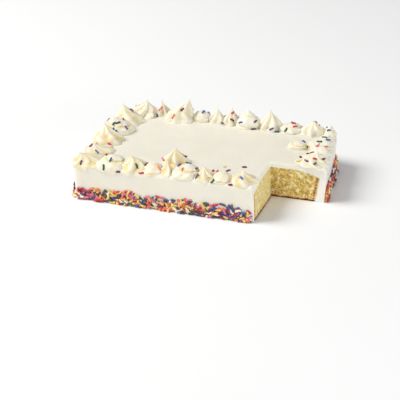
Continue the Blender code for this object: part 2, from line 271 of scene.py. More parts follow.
# Sprinkles on the top that the view shows, by colour: pixel across, pixel down, slope in degrees
SEEN = {
    "maroon": (
        (182.5, 109.6, 45), (106.6, 155.0, -40), (146.2, 164.6, 40), (185.7, 156.6, 0),
        (244.5, 167.5, 0), (230.5, 184.9, 0), (300.8, 157.2, -25), (232.0, 120.1, -30),
        (253.6, 129.2, 0), (118.2, 171.8, 0), (323.1, 158.9, 15), (259.9, 119.0, -45),
    ),
    "red": (
        (123.4, 119.3, -72), (110.0, 144.6, -30), (141.4, 173.1, 5), (293.6, 123.4, -10),
        (295.2, 126.6, 5), (315.1, 159.0, -10), (197.0, 110.5, 10), (232.8, 112.8, 30),
        (212.8, 171.2, 40),
    ),
    "orange": (
        (173.4, 116.5, 60), (159.1, 168.2, -60), (182.8, 169.6, 85), (326.7, 146.8, 35),
        (82.2, 149.2, 50),
    ),
    "yellow": ((157.2, 108.3, 30), (224.6, 167.2, 20), (304.7, 147.2, 60), (299.2, 161.2, 10)),
    "green": (
        (103.6, 167.3, 90), (136.5, 166.0, -70), (285.9, 130.0, 58), (212.5, 181.3, 50),
        (307.0, 146.9, -50), (319.3, 141.7, 0), (314.9, 163.8, 35), (222.9, 123.2, 0),
        (196.6, 168.7, 20), (118.0, 122.9, 20),
    ),
    "blue": (
        (113.4, 128.9, 90), (110.6, 160.0, 70), (188.6, 163.3, -15), (241.4, 178.1, -45),
        (303.8, 141.8, -30), (328.0, 140.0, 0), (203.3, 111.9, 40), (96.8, 151.7, -45),
        (240.8, 122.6, 10), (329.0, 130.3, 10),
    ),
    "pink": ((163.1, 159.1, -65), (318.1, 145.5, 35), (217.1, 171.7, 50), (160.6, 108.7, 45)),
    "purple": (
        (131.4, 110.2, -30), (126.3, 128.0, -58), (156.9, 115.6, -88), (179.5, 165.3, 38),
        (196.8, 176.4, 60), (228.0, 171.0, 20), (255.5, 121.5, 40), (271.7, 129.0, 25),
        (81.0, 162.7, 72), (306.3, 160.8, -25), (91.3, 145.6, 45), (303.8, 125.5, -40),
    ),
    "teal": ((171.6, 107.9, 8), (277.2, 132.2, 0), (114.0, 123.6, 40)),
}

# View: eye, angles of sight, lens of a 36 mm sensor, and the picture it is given for
EYE = Vector((0.5102, -1.5883, 0.7268))
AZIMUTH = math.radians(18.38)
ELEVATION = math.radians(24.445)
SENSOR = 36.0
LENS = 112.09
PICTURE = 400

# Creams as (pale, deep, roughness, tint); the tint is painted light, paler cream on the spread icing's
# cut faces, and painted shade, yellower cream in the piped icing's grooves
FLAT_CREAM = ((0.90, 0.865, 0.76), (0.875, 0.835, 0.72), 0.42, (0.95, 0.92, 0.83))
PIPED_CREAM = ((0.93, 0.90, 0.80), (0.91, 0.875, 0.77), 0.40, (0.83, 0.67, 0.30))

# Stage: the floor, the lights as (place, size, power, colour), and the even light from all round
FLOOR_RADIUS = 8.0
FLOOR_DROP = 0.0002
LIGHTS = {
    "key": ((-2.66, -0.86, 3.15), 2.3, 160.0, (1.0, 0.985, 0.95)),
    "fill": ((2.3, -1.2, 0.50), 0.8, 23.0, (1, 1, 1)),
}
LIT_PLACE = (0, 0, 0.03)
SURROUNDINGS = 0.34


def view_axes():
    """Right, up and back directions of the view."""
    back = Vector((math.sin(AZIMUTH) * math.cos(ELEVATION),
                   -math.cos(AZIMUTH) * math.cos(ELEVATION),
                   math.sin(ELEVATION)))
    right = Vector((math.cos(AZIMUTH), math.sin(AZIMUTH), 0))
    return right, back.cross(right), back


def add_object(name, data):
    """New object in the scene."""
    thing = bpy.data.objects.new(name, data)
    bpy.context.scene.collection.objects.link(thing)
    return thing


def add_piece(name, data, material):
    """Smooth object that rides with the cake and takes its finish from a slot."""
    data.materials.clear()
    data.materials.append(material)
    data.shade_smooth()
    piece = add_object(name, data)
    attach(piece, BODY)
    return piece


def grid_faces(rows, columns, wrap):
    """Quads of a grid numbered row by row; the columns close into a ring where wrap is set."""
    faces = []
    for row in range(rows - 1):
        for column in range(columns if wrap else columns - 1):
            following = (column + 1) % columns
            faces.append((row * columns + column, row * columns + following,
                          (row + 1) * columns + following, (row + 1) * columns + column))
    return faces


def set_inputs(node, values):
    """Plain values for a node's inputs, by their names."""
    for name, value in values.items():
        node.inputs[name].default_value = value


def new_material(name, roughness, specular):
    """New material, its node tree and its shader."""
    material = bpy.data.materials.new(name)
    material.use_nodes = True
    tree = material.node_tree
    shader = tree.nodes["Principled BSDF"]
    set_inputs(shader, {"Roughness": roughness, "Specular IOR Level": specular})
    return material, tree, shader


def add_noise(tree, scale, detail=4.0, roughness=0.55, stretch=(1, 1, 1)):
    """Noise in object coordinates."""
    coordinates = tree.nodes.new("ShaderNodeTexCoord")
    mapping = tree.nodes.new("ShaderNodeMapping")
    set_inputs(mapping, {"Scale": stretch})
    texture = tree.nodes.new("ShaderNodeTexNoise")
    set_inputs(texture, {"Scale": scale, "Detail": detail, "Roughness": roughness})
    tree.links.new(coordinates.outputs["Object"], mapping.inputs["Vector"])
    tree.links.new(mapping.outputs["Vector"], texture.inputs["Vector"])
    return texture.outputs["Fac"]


def add_ramp(tree, factor, stops):
    """Colour ramp over (position, colour) stops."""
    ramp = tree.nodes.new("ShaderNodeValToRGB")
    elements = ramp.color_ramp.elements
    while len(elements) < len(stops):
        elements.new(0.5)
    for element, (position, colour) in zip(elements, stops):
        element.position = position
        element.color = (*colour, 1.0)
    tree.links.new(factor, ramp.inputs["Fac"])
    return ramp.outputs["Color"]


def add_mix(tree, factor, first, second):
    """Mix of two colours by a factor; either colour may be a plain value."""
    mix = tree.nodes.new("ShaderNodeMix")
    mix.data_type = "RGBA"
    tree.links.new(factor, mix.inputs["Factor"])
    for socket, colour in (("A", first), ("B", second)):
        place = [s for s in mix.inputs if s.name == socket and s.type == "RGBA"][0]
        if isinstance(colour, tuple):
            place.default_value = (*colour, 1.0)
        else:
            tree.links.new(colour, place)
    return [s for s in mix.outputs if s.type == "RGBA"][0]


def add_attribute(tree, name):
    """A number kept on the mesh's points."""
    attribute = tree.nodes.new("ShaderNodeAttribute")
    attribute.attribute_name = name
    return attribute.outputs["Fac"]


def add_bump(tree, shader, height, strength, distance):
    """Fine relief from a height."""
    bump = tree.nodes.new("ShaderNodeBump")
    set_inputs(bump, {"Strength": strength, "Distance": distance})
    tree.links.new(height, bump.inputs["Height"])
    tree.links.new(bump.outputs["Normal"], shader.inputs["Normal"])


def set_soft(shader, weight, scale):
    """Light that enters and spreads a little under the surface."""
    set_inputs(shader, {
        "Subsurface Weight": weight,
        "Subsurface Radius": (1.0, 0.75, 0.45),
        "Subsurface Scale": scale,
    })


def cream_material(name, attribute, pale, deep, roughness, tint):
    """Spread or piped icing: cream with faint clouds of a deeper cream and a fine smear.

    The tint is painted light and shade where the mesh's attribute says: painted shade of yellower
    cream in the grooves, seams and feet of piped icing, painted light of paler cream where spread icing
    is cut.
    """
    material, tree, shader = new_material(name, roughness, 0.35)
    clouds = add_noise(tree, 26.0, detail=3.0)
    colour = add_ramp(tree, clouds, ((0.34, deep), (0.66, pale)))
    # Painted shade in piped icing's grooves, painted light on spread icing's cut faces, laid by the
    # attribute
    colour = add_mix(tree, add_attribute(tree, attribute), colour, tint)
    tree.links.new(colour, shader.inputs["Base Color"])
    set_soft(shader, 0.35, 0.004)
    smear = add_noise(tree, 420.0, detail=3.0, stretch=(0.5, 0.5, 1))
    add_bump(tree, shader, smear, 0.12, 0.0004)
    return material


def sponge_material():
    """Open crumb, pale on its crumbs with painted shade in its pores and hollows, painted light on the
    left cut face, browned at the foot and the sides.
    """
    material, tree, shader = new_material("sponge_crumb", 0.88, 0.2)
    grain = add_noise(tree, 520.0, detail=5.0, roughness=0.62)
    crumb = add_ramp(tree, grain, (
        (0.34, (0.29, 0.15, 0.026)), (0.47, (0.60, 0.40, 0.090)), (0.59, (0.87, 0.71, 0.29))))
    patches = add_noise(tree, 260.0, detail=3.0)
    patch = add_ramp(tree, patches, (
        (0.36, (0.38, 0.22, 0.04)), (0.48, (0.62, 0.41, 0.095)), (0.60, (0.87, 0.70, 0.28))))
    body = add_mix(tree, add_noise(tree, 60.0, detail=1.0), crumb, patch)
    blobs = add_noise(tree, 150.0, detail=2.0)
    blobs = add_ramp(tree, blobs, ((0.50, (0, 0, 0)), (0.62, (0.9, 0.9, 0.9))))
    body = add_mix(tree, blobs, body, (0.93, 0.82, 0.46))
    # Painted shade: dark spots of noise stand for shaded hollows in the crumb
    painted_hollow_shade = add_noise(tree, 210.0, detail=2.0)
    painted_hollow_shade = add_ramp(tree, painted_hollow_shade, ((0.30, (0.75, 0.75, 0.75)), (0.46, (0, 0, 0))))
    body = add_mix(tree, painted_hollow_shade, body, (0.44, 0.25, 0.04))
    # Baked crust at the sides and foot, and painted light and shade: a paler left face and shaded pores
    crust_and_painted_light_colours = {
        # Painted light on the left cut face
        "pale": (0.87, 0.76, 0.38),
        # Painted shade in the pores
        "pore": (0.34, 0.18, 0.035),
        "side": (0.80, 0.40, 0.11),
        "foot": (0.115, 0.036, 0.010),
    }
    for attribute, layer_colour in crust_and_painted_light_colours.items():
        body = add_mix(tree, add_attribute(tree, attribute), body, layer_colour)
    tree.links.new(body, shader.inputs["Base Color"])
    set_soft(shader, 0.18, 0.002)
    fine = add_noise(tree, 900.0, detail=4.0)
    add_bump(tree, shader, fine, 0.5, 0.0004)
    return material


def sprinkle_material(name, colour):
    """Sugar rod, a little glossy and unevenly tinted."""
    material, tree, shader = new_material("sprinkle_" + name, 0.34, 0.45)
    tint = add_noise(tree, 240.0, detail=2.0)
    darker = tuple(0.72 * part for part in colour)
    lighter = tuple(min(1.0, 1.12 * part + 0.012) for part in colour)
    shade = add_ramp(tree, tint, ((0.32, darker), (0.68, lighter)))
    tree.links.new(shade, shader.inputs["Base Color"])
    grain = add_noise(tree, 1500.0, detail=2.0)
    add_bump(tree, shader, grain, 0.15, 0.0002)
    return material


def corner_arc(x, y, radius, start_degrees):
    """Points of a rounded corner whose sharp corner is at x, y."""
    centre = Vector((x - math.copysign(radius, x), y - math.copysign(radius, y)))
    points = []
    for step in range(CORNER_STEPS + 1):
        angle = math.radians(start_degrees + 90 * step / CORNER_STEPS)
        points.append(centre + radius * Vector((math.cos(angle), math.sin(angle))))
    return points


def side_x(y):
    """Where the cake's right side stands at a distance y."""
    return LENGTH / 2 - RIGHT_RUN_IN * (y - SLICE_Y) / (DEPTH / 2 - SLICE_Y)


def left_x(y):
    """Where the cake's left side stands at a distance y."""
    return LEFT_RUN_IN * (DEPTH / 2 - y) / DEPTH - LENGTH / 2


def half_length(point):
    """Distance from the middle line to the side that a point is nearer to."""
    return side_x(point.y) if point.x > 0 else -left_x(point.y)


def run_in(point):
    """Draw the sides in: the right half towards the back, the left half towards the front."""
    return Vector((point.x / (LENGTH / 2) * half_length(point), point.y))


def plan_outline(inset):
    """The cake's plan, counter-clockwise from above, moved in by inset all round."""
    half_x = LENGTH / 2 - inset
    half_y = DEPTH / 2 - inset
    plain = max(CORNER_RADIUS - inset, LEAST_RADIUS)
    wide = max(BACK_RIGHT_RADIUS - inset, LEAST_RADIUS)
    arcs = [
        corner_arc(half_x, -half_y, plain, -90),
        corner_arc(half_x, half_y, wide, 0),
        corner_arc(-half_x, half_y, plain, 90),
        corner_arc(-half_x, -half_y, plain, 180),
    ]
    steps = (SHORT_SIDE_STEPS, LONG_SIDE_STEPS) * 2
    outline = []
    for index, arc in enumerate(arcs):
        outline += arc
        end = arcs[(index + 1) % 4][0]
        count = steps[index]
        outline += [arc[-1].lerp(end, step / count) for step in range(1, count)]
    return [run_in(point) for point in outline]


def foot_forward(height):
    """How far forward the sponge stands at a height."""
    return SPONGE_FOOT_FORWARD * max(1 - height / SPONGE_WALL_HEIGHT, 0.0)


def loft(levels, forward=None):
    """Closed body through plan outlines given as (inset, height), from the bottom up."""
    mesh = bmesh.new()
    rings = []
    for inset, height in levels:
        shift = forward(height) if forward else 0.0
        rings.append([mesh.verts.new((p.x, p.y - shift, height)) for p in plan_outline(inset)])
    count = len(rings[0])
    for lower, upper in zip(rings, rings[1:]):
        for i in range(count):
            j = (i + 1) % count
            mesh.faces.new((lower[i], lower[j], upper[j], upper[i]))
    mesh.faces.new(reversed(rings[0]))
    mesh.faces.new(rings[-1])
    mesh.normal_update()
    return mesh


def icing_levels():
    """Leaning wall, rounded upper edge and flat top of the icing."""
    radius = ICING_EDGE_RADIUS
    levels = []
    for step in range(WALL_STEPS):
        height = (HEIGHT - radius) * step / WALL_STEPS
        levels.append((ICING_FOOT_INSET * (1 - height / (HEIGHT - radius)), height))
    for step in range(EDGE_STEPS + 1):
        angle = math.radians(90 * step / EDGE_STEPS)
        height = HEIGHT - radius * (1 - math.sin(angle))
        levels.append((radius * (1 - math.cos(angle)), height))
    for step in range(1, int((TOP_INSET - radius) / TOP_STEP) + 1):
        levels.append((radius + step * TOP_STEP, HEIGHT))
    return levels


def sponge_top(inset):
    """Height of the sponge's upper side at a distance in from the cake's side."""
    shoulder_end = SPONGE_WALL_INSET + SPONGE_SHOULDER
    if inset <= shoulder_end:
        across = min(shoulder_end - inset, SPONGE_SHOULDER)
        return SPONGE_WALL_HEIGHT + math.sqrt(SPONGE_SHOULDER ** 2 - across ** 2)
    share = min((inset - shoulder_end) / SPONGE_DOME_RUN, 1.0)
    shoulder_height = SPONGE_WALL_HEIGHT + SPONGE_SHOULDER
    return shoulder_height + (SPONGE_HEIGHT - shoulder_height) * (1 - (1 - share) ** 2)


def sponge_levels():
    """Foot, wall, rounded shoulder and dome of the sponge."""
    levels = [(SPONGE_FOOT_INSET, 0.0), (SPONGE_WALL_INSET, SPONGE_WALL_HEIGHT)]
    for step in range(1, SHOULDER_STEPS + 1):
        angle = math.radians(90 * step / SHOULDER_STEPS)
        inset = SPONGE_WALL_INSET + SPONGE_SHOULDER * (1 - math.cos(angle))
        levels.append((inset, sponge_top(inset)))
    shoulder_end = SPONGE_WALL_INSET + SPONGE_SHOULDER
    for step in range(1, DOME_STEPS + 1):
        inset = shoulder_end + SPONGE_DOME_RUN * step / DOME_STEPS
        levels.append((inset, sponge_top(inset)))
    return levels


def cut_x(height):
    """Where the cut across the cake stands at a height."""
    return SLICE_X + CUT_LEAN * (1 - height / HEIGHT)


def from_slice(point):
    """How far a point lies outside the missing slice, seen from above; 0 inside it."""
    left = max(cut_x(point.z) - point.x, 0.0)
    behind = max(point.y - SLICE_Y, 0.0)
    return math.hypot(left, behind)


def cut_rounding(distance):
    """How far the surface falls away next to a knife's cut."""
    left = max(CUT_EDGE_RADIUS - distance, 0.0)
    return CUT_EDGE_RADIUS - math.sqrt(CUT_EDGE_RADIUS ** 2 - left ** 2)


def spread_unevenness(point):
    """Swells and ripples the palette knife left, fading out at the foot."""
    steady = min(point.z / STEADY_FOOT, 1.0)
    swell = SWELL * noise.noise(Vector((point.x, point.y, point.z * 2)) / SWELL_SIZE)
    ripple = RIPPLE * noise.noise(Vector((point.x * 0.5, point.y, point.z * 1.5)) / RIPPLE_SIZE)
    return steady * (swell + ripple)


def boolean_cut(piece, cutters):
    """Cut shapes out of a piece for good, then drop them."""
    for cutter in cutters:
        cut = piece.modifiers.new("cut", "BOOLEAN")
        cut.operation = "DIFFERENCE"
        cut.solver = "EXACT"
        cut.object = cutter
    graph = bpy.context.evaluated_depsgraph_get()
    data = bpy.data.meshes.new_from_object(piece.evaluated_get(graph))
    piece.modifiers.clear()
    piece.data = data
    for cutter in cutters:
        bpy.data.objects.remove(cutter, do_unlink=True)


def mesh_data(name, mesh):
    """Mesh data of a bmesh, which is dropped."""
    data = bpy.data.meshes.new(name)
    mesh.to_mesh(data)
    mesh.free()
    return data


def plain_object(mesh, name="scratch"):
    """Object of a bmesh without a slot, for cutting or for the stage."""
    return add_object(name, mesh_data(name, mesh))


def slice_block(setback):
    """Block of the room that the missing slice left, grown by setback into the cake."""
    low = Vector((SLICE_X - setback, -DEPTH / 2 - CUT_MARGIN, -CUT_MARGIN))
    high = Vector((LENGTH / 2 + CUT_MARGIN, SLICE_Y + setback, HEIGHT + CUT_MARGIN))
    mesh = bmesh.new()
    place = Matrix.Translation((low + high) / 2) @ Matrix.Diagonal((*(high - low), 1.0))
    bmesh.ops.create_cube(mesh, size=1.0, matrix=place)
    for vert in mesh.verts:
        if vert.co.x < (low.x + high.x) / 2:
            vert.co.x = cut_x(vert.co.z) - setback
    return plain_object(mesh)


def make_icing(material):
    """Coat of icing: soft upper edge, faint unevenness, clean cuts where the slice was taken."""
    mesh = loft(icing_levels())
    for share in CUT_EDGE_SHARES:
        aside = share * CUT_EDGE_RADIUS
        planes = (((SLICE_X - aside, 0, HEIGHT), (1, 0, CUT_LEAN / HEIGHT)),
                  ((0, SLICE_Y + aside, 0), (0, 1, 0)))
        for point, normal in planes:
            everything = mesh.verts[:] + mesh.edges[:] + mesh.faces[:]
            bmesh.ops.bisect_plane(mesh, geom=everything, plane_co=point, plane_no=normal)
    mesh.normal_update()
    for vert in mesh.verts:
        if vert.co.z > 0:
            lift = spread_unevenness(vert.co) - cut_rounding(from_slice(vert.co))
            vert.co += vert.normal * lift
    piece = plain_object(mesh, "icing_coat")
    levels = sponge_levels()
    cavity = loft([(levels[0][0], -CUT_MARGIN)] + levels, foot_forward)
    boolean_cut(piece, [plain_object(cavity), slice_block(0.0)])
    data = piece.data
    bpy.data.objects.remove(piece, do_unlink=True)
    coat = add_piece("icing_coat", data, material)
    data.set_sharp_from_angle(angle=math.radians(50))
    # Painted light: the cut faces take a paler cream than the rest of the coat
    painted_cut_light = [1.0 if from_slice(vert.co) < TOUCH else 0.0 for vert in data.vertices]
    data.attributes.new("cut", "FLOAT", "POINT").data.foreach_set("value", painted_cut_light)
    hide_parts("icing")
    return coat


def crumb_relief(point):
    """Height of the torn crumb over its plane, and how deep in a pore the point lies, 0 to 1."""
    swell = CRUMB_SWELL * noise.noise(point / CRUMB_SWELL_SIZE)
    grain = CRUMB_GRAIN * noise.noise(point / CRUMB_GRAIN_SIZE)
    near, _ = noise.voronoi(point / CRUMB_CELL)
    cell = CRUMB_CELL_RISE * (min(near[1] - near[0], CRUMB_CELL_EDGE) - CRUMB_CELL_EDGE / 2)
    pores, centres = noise.voronoi(point / PORE_CELL)
    size = PORE_RADIUS * max(0.0, noise.cell(centres[0] * PORE_SHUFFLE))
    depth = max(0.0, 1 - (pores[0] / size) ** 2) if size > LEAST_PORE else 0.0
    return swell + grain + cell - PORE_DEPTH * depth, depth


def face_grid(run):
    """Places on a cut face as (distance in from the side, height) by rows from its foot."""
    columns = round((run - SPONGE_WALL_INSET) / CRUMB_STEP)
    rows = round(SPONGE_HEIGHT / CRUMB_STEP)
    places = []
    for row in range(rows + 1):
        for column in range(columns + 1):
            share = column / columns
            top_inset = SPONGE_WALL_INSET + share * (run - SPONGE_WALL_INSET)
            foot_inset = SPONGE_FOOT_INSET + share * (run - SPONGE_FOOT_INSET)
            height = sponge_top(top_inset) * row / rows
            climb = min(height / SPONGE_WALL_HEIGHT, 1.0)
            places.append((foot_inset + (top_inset - foot_inset) * climb, height))
    return places, rows + 1, columns + 1


def varied(point, mean, spread, size):
    """Number that varies from place to place."""
    return mean + spread * noise.noise(point / size)


def crust_shares(inset, height, point):
    """How browned a place on a cut face is by the tin's side and by its foot, 0 to 1 each."""
    climb = min(height / SPONGE_WALL_HEIGHT, 1)
    wall = SPONGE_FOOT_INSET + (SPONGE_WALL_INSET - SPONGE_FOOT_INSET) * climb
    jag = varied(point, *CRUST_JAG) + varied(point, *FINE_JAG)
    side = 1 - (inset - wall) / (SIDE_CRUST * jag)
    fringe = 1 - height / (FOOT_FRINGE * jag)
    foot = 1 - height / (FOOT_CRUST * jag)
    from_row = abs(inset - wall - DOT_ROW) / DOT_WIDTH
    wave = 2 * math.pi * height / DOT_SPACING + varied(point, *DOT_WANDER)
    dot = max(1 - from_row, 0.0) * (0.5 + 0.5 * math.cos(wave)) * varied(point, *DOT_STRENGTH)
    brown = max(min(max(foot * FOOT_SHARPNESS, 0.0), 1.0), min(dot, DARKEST_DOT))
    tanned = min(max(side * SIDE_SHARPNESS, fringe * FRINGE_SHARPNESS, 0.0), 1.0)
    return tanned * varied(point, *SPECKLE), brown


def add_layers(mesh):
    """Numbers that a bmesh keeps on its points for the crumb's colours."""
    return {name: mesh.verts.layers.float.new(name) for name in ("pore", "side", "foot", "pale")}


def make_slab(run, place, outward, strength):
    """Slab of crumb behind a cut face.  place turns (inset, height) into a point of the face."""
    places, rows, columns = face_grid(run)
    mesh = bmesh.new()
    layers = add_layers(mesh)
    verts = []
    for inset, height in places:
        point = place(inset, height)
        relief, pore = crumb_relief(point)
        side, foot = crust_shares(inset, height, point)
        vert = mesh.verts.new(point + outward * relief * strength)
        vert.co.z = max(vert.co.z, 0.0)
        # Painted shade in the pores, weaker on the left cut face
        vert[layers["pore"]] = pore * strength
        vert[layers["side"]] = side
        vert[layers["foot"]] = foot
        # Painted light: the weaker a face's relief, the paler its crumb
        vert[layers["pale"]] = 1 - strength
        verts.append(vert)
    for face in grid_faces(rows, columns, False):
        mesh.faces.new([verts[i] for i in face])
    rim = [edge for edge in mesh.edges if edge.is_boundary]
    made = bmesh.ops.extrude_edge_only(mesh, edges=rim)["geom"]
    for thing in made:
        if isinstance(thing, bmesh.types.BMVert):
            thing.co -= outward * SLAB_THICKNESS
            thing.co.z = max(thing.co.z, 0.0)
    bmesh.ops.holes_fill(mesh, edges=[edge for edge in mesh.edges if edge.is_boundary], sides=0)
    bmesh.ops.recalc_face_normals(mesh, faces=mesh.faces)
    return mesh


def left_face_place(inset, height):
    """Point of the cut across the cake."""
    return Vector((cut_x(height), inset - foot_forward(height) - DEPTH / 2, height))


def make_sponge(material):
    """Sponge: a plain core, and a slab of open crumb at each of the two cut faces."""
    core = plain_object(loft(sponge_levels(), foot_forward))
    boolean_cut(core, [slice_block(CORE_SETBACK)])
    mesh = bmesh.new()
    mesh.from_mesh(core.data)
    layers = add_layers(mesh)
    for vert in mesh.verts:
        vert[layers["foot"]] = 1.0 if vert.co.z < FOOT_CRUST else 0.0
        vert[layers["side"]] = 1.0
    bpy.data.objects.remove(core, do_unlink=True)
    left_run = SLICE_DEPTH + SLAB_OVERRUN
    right_edge = side_x(SLICE_Y)
    back_run = right_edge - SLICE_X + SLAB_OVERRUN
    slabs = [
        make_slab(left_run, left_face_place, Vector((1, 0, CUT_LEAN / HEIGHT)), LEFT_FACE_STRENGTH),
        make_slab(back_run, lambda inset, height: Vector((right_edge - inset, SLICE_Y, height)),
                  Vector((0, -1, 0)), BACK_FACE_STRENGTH),
    ]
    for slab in slabs:
        part = mesh_data("slab", slab)
        mesh.from_mesh(part)
        bpy.data.meshes.remove(part)
    data = mesh_data("sponge_crumb", mesh)
    sponge = add_piece("sponge_crumb", data, material)
    data.set_sharp_from_angle(angle=math.radians(60))
    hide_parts("sponge")
    return sponge


def piping_kind(lobes, groove):
    """Way of piping that a solid dollop stands for."""
    if groove < SMOOTH_GROOVE:
        return "round" if lobes == BROAD_LOBES else "low"
    return {BROAD_LOBES: "broad", SLIM_LOBES: "slim"}.get(lobes, "star")


def ring_angles(points, centre):
    """Angles of a solid dollop's ridges and the radii of its ridges and grooves at one ring."""
    around = points[:, :2] - centre
    radii = np.hypot(around[:, 0], around[:, 1])
    middle = (radii.max() + radii.min()) / 2
    angles = np.arctan2(around[:, 1], around[:, 0])
    return angles[radii > middle], radii.max(), radii.min()


def measure_dollop(node):
    """Place, size, lobes, turn, twist and lean of the solid dollop in a node."""
    points = np.array([vert.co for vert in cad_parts[node].data.vertices])
    points = np.unique(points.round(6), axis=0)
    low = points[:, 2].min()
    height = points[:, 2].max() - low
    base = points[points[:, 2] < low + TOUCH]
    centre = base[:, :2].mean(axis=0)
    tip = points[points[:, 2].argmax()][:2]
    ridges, widest, narrowest = ring_angles(base, centre)
    lean = tip - centre
    ring = points[abs(points[:, 2] - low - TWIST_RING * height) < TOUCH]
    above, _, _ = ring_angles(ring, centre + lean * TWIST_RING ** TIP_LEAN_POWER)
    pitch = 2 * math.pi / len(ridges)
    turned = (above[0] - ridges[0] + pitch / 2) % pitch - pitch / 2
    kind = "ribbon" if node in RIBBONS else piping_kind(len(ridges), 1 - narrowest / widest)
    return {
        "centre": centre,
        "edge": front_side(node, centre) if node in FRONT_DROOP else nearest_side(centre),
        "droop": FRONT_DROOP.get(node, PLAIN_DROOP),
        "radius": widest / body_share(0.0, PIPING[kind][0]),
        "height": height,
        "lean": lean,
        "lobes": len(ridges),
        "turn": ridges[0],
        "twist": turned / (2 * math.pi * TWIST_RING),
        "kind": kind,
    }


def front_side(node, centre):
    """Direction in which a front dollop hangs over, and its distance from the front side."""
    return CORNER_ANGLES.get(node, FRONT_ANGLE), centre[1] + DEPTH / 2


def nearest_side(centre):
    """Direction and distance from a place in the border to the nearest side, as (angle, gap)."""
    x, y = centre
    gaps = {
        0.0: side_x(y) - x,
        math.pi: x - left_x(y),
        math.pi / 2: DEPTH / 2 - y,
        -math.pi / 2: y + DEPTH / 2,
    }
    angle = min(gaps, key=gaps.get)
    return angle, gaps[angle]


def outer_spread(form, angle):
    """How much wider the foot of a dollop is towards the edge that it hangs over, as a share."""
    edge_angle, gap = form["edge"]
    if gap > ROW_REACH:
        return BASE_SPREAD
    arc = ICING_EDGE_RADIUS * math.pi / 2
    if form["droop"] < ICING_EDGE_RADIUS:
        past = ICING_EDGE_RADIUS * math.acos(1 - form["droop"] / ICING_EDGE_RADIUS)
    else:
        past = arc + form["droop"] - ICING_EDGE_RADIUS
    reach = gap - ICING_EDGE_RADIUS + past
    foot = FULLNESS * form["radius"] * body_share(0.0, PIPING[form["kind"]][0])
    wanted = max(reach / foot - 1, BASE_SPREAD)
    facing = np.clip(np.cos(angle - edge_angle), 0, 1)
    return BASE_SPREAD + (wanted - BASE_SPREAD) * facing ** OUTER_SHAPE


def body_share(t, sharpness):
    """Radius of a dollop at a share t of its height, as a share of half its width."""
    def raw(s):
        return (1 - s) ** sharpness * (1 + DOLLOP_BELLY * s * (1 - s))
    return raw(t) / raw(np.linspace(0, 0.5, 40)).max()


def soft_crest(value):
    """Absolute value with a rounded bottom, still 0 at 0 and 1 at 1."""
    top = math.sqrt(1 + CREST_SOFTNESS ** 2) - CREST_SOFTNESS
    return (np.sqrt(value ** 2 + CREST_SOFTNESS ** 2) - CREST_SOFTNESS) / top


def past_rounding(x, y):
    """How far a place lies past the start of the icing's rounded edge, and which way is out."""
    squared_x = x / half_length(Vector((x, y))) * LENGTH / 2
    radius = BACK_RIGHT_RADIUS if x > 0 and y > 0 else CORNER_RADIUS
    over_x = abs(squared_x) - (LENGTH / 2 - radius)
    over_y = abs(y) - (DEPTH / 2 - radius)
    away = Vector((max(over_x, 0), max(over_y, 0)))
    if over_x < 0 and over_y < 0:
        away = Vector((1, 0)) if over_x > over_y else Vector((0, 1))
        inside = radius - max(over_x, over_y)
    else:
        inside = radius - away.length
    outward = Vector((math.copysign(away.x, x), math.copysign(away.y, y))).normalized()
    return ICING_EDGE_RADIUS - inside, outward


def drape(point, share):
    """Lay the foot of a dollop over the icing's rounded edge and down its wall."""
    past, outward = past_rounding(point[0], point[1])
    if past <= 0:
        return point
    turn = min(past / ICING_EDGE_RADIUS, math.pi / 2)
    down_wall = past - ICING_EDGE_RADIUS * turn
    above = (point[2] - HEIGHT) * DRAPE_THICKNESS
    aside = ICING_EDGE_RADIUS * math.sin(turn) - past + above * math.sin(turn)
    draped = np.array([
        point[0] + outward.x * aside,
        point[1] + outward.y * aside,
        HEIGHT - ICING_EDGE_RADIUS * (1 - math.cos(turn)) - down_wall + above * math.cos(turn),
    ])
    return point + (draped - point) * (1 - share) ** DRAPE_FADE


def ring_heights():
    """Shares of a dollop's height at which its rings stand, closer together near its foot."""
    return np.linspace(0, 1, DOLLOP_RINGS) ** RING_CROWDING


